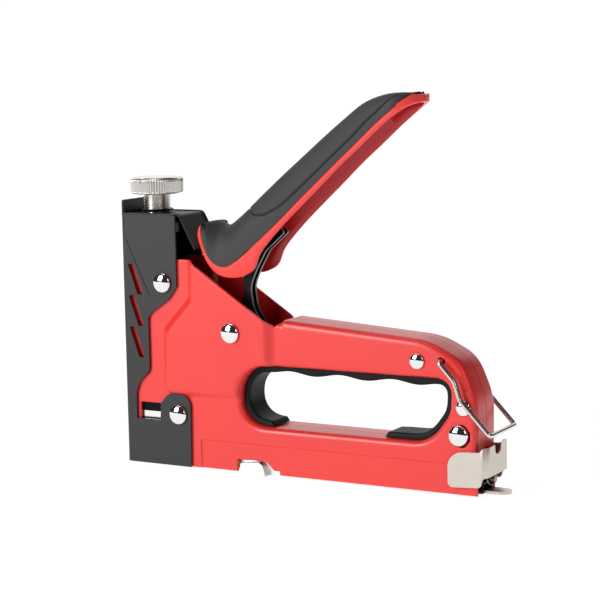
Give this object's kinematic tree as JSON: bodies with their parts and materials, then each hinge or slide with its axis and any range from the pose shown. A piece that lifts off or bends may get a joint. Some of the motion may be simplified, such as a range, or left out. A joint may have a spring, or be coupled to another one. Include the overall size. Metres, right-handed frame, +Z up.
{
  "type": "manual staple gun",
  "caption": "Hand squeeze staple gun: sprung handle lifts a plunger, knurled screw sets the spring, magazine slides out at the back, wire bail locks the handle.",
  "frame": {"origin": "middle of the length and width, at the underside of the magazine channel that the gun stands on", "axes": "+X from the nose to the back, +Y to the gun's right side, +Z up through the knob"},
  "size_m": [0.1676, 0.028, 0.1527],
  "materials": {
    "red_paint": "gloss enamel on pressed steel",
    "black_paint": "satin powder coat on folded steel",
    "black_steel": "blackened steel",
    "black_rubber": "plain rubber",
    "black_plastic": "moulded, fine spark texture",
    "soft_black": "soft-touch overmould",
    "textured_black": "pebbled soft insert",
    "nickel": "nickel plate, satin",
    "zinc": "bright zinc plate",
    "chrome": "polished plate",
    "steel": "ground steel"
  },
  "bodies": {
    "gun_body": {"left_shell": "red_paint", "right_shell": "red_paint", "front_cover": "black_paint", "top_bracket": "black_paint", "nose_guide": "nickel", "plunger_guide": "black_steel", "stop_bumper": "black_rubber", "screw_collar": "nickel", "pivot_rivet": "chrome", "upper_cover_rivet_left": "chrome", "upper_cover_rivet_right": "chrome", "lower_cover_rivet": "chrome", "rear_upper_rivet": "chrome", "rear_middle_rivet": "chrome", "rear_lower_rivet": "chrome", "grip_liner": "black_plastic", "magazine_channel": "zinc"},
    "handle": {"handle_shell": "red_paint", "handle_grip": "soft_black", "grip_insert": "textured_black", "grip_screw_front": "chrome", "grip_screw_rear": "chrome", "lever_plate_left": "black_steel", "lever_plate_right": "black_steel", "lever_spacer": "steel", "lifting_pin": "steel"},
    "plunger": {"plunger": "steel", "driver_blade": "steel"},
    "seat": {"spring_seat": "steel", "main_spring": "steel"},
    "knob": {"tension_screw": "nickel", "adjusting_knob": "nickel"},
    "bail": {"wire_bail": "chrome"},
    "magazine": {"magazine_latch": "nickel", "staple_rail": "black_steel", "pull_tongue": "steel", "guide_rod": "steel", "follower_spring": "steel"},
    "follower": {"staple_follower": "black_plastic"}
  },
  "joints": [
    {"name": "handle_squeeze", "type": "hinge", "parent": "gun_body", "child": "handle", "pos_m": [-0.03155, 0, 0.0576], "axis": [0, 1, 0], "range_deg": [0, 45], "stiffness_Nm_per_rad": 4, "springref_deg": -20.05},
    {"name": "plunger_lift", "type": "slide", "parent": "gun_body", "child": "plunger", "axis": [0, 0, 1], "range_m": [0, 0.0218], "deforming": ["main_spring"]},
    {"name": "seat_travel", "type": "slide", "parent": "gun_body", "child": "seat", "axis": [0, 0, 1], "range_m": [-0.0015, 0.0015]},
    {"name": "knob_turn", "type": "hinge", "parent": "seat", "child": "knob", "pos_m": [-0.07205, 0, 0.1], "axis": [0, 0, 1], "range_deg": [-540, 540]},
    {"name": "bail_swing", "type": "hinge", "parent": "gun_body", "child": "bail", "pos_m": [0.05945, 0, 0.0519], "axis": [0, -1, 0], "range_deg": [0, 130]},
    {"name": "magazine_slide", "type": "slide", "parent": "gun_body", "child": "magazine", "axis": [1, 0, 0], "range_m": [0, 0.12]},
    {"name": "follower_travel", "type": "slide", "parent": "magazine", "child": "follower", "axis": [1, 0, 0], "range_m": [0, 0.09], "stiffness_N_per_m": 30, "springref_m": -0.05, "deforming": ["follower_spring"]}
  ],
  "couplings": [
    {"joint": "plunger_lift", "follows": "handle_squeeze", "m_per_rad": 0.027757},
    {"joint": "knob_turn", "follows": "seat_travel", "rad_per_m": 6283.2}
  ]
}
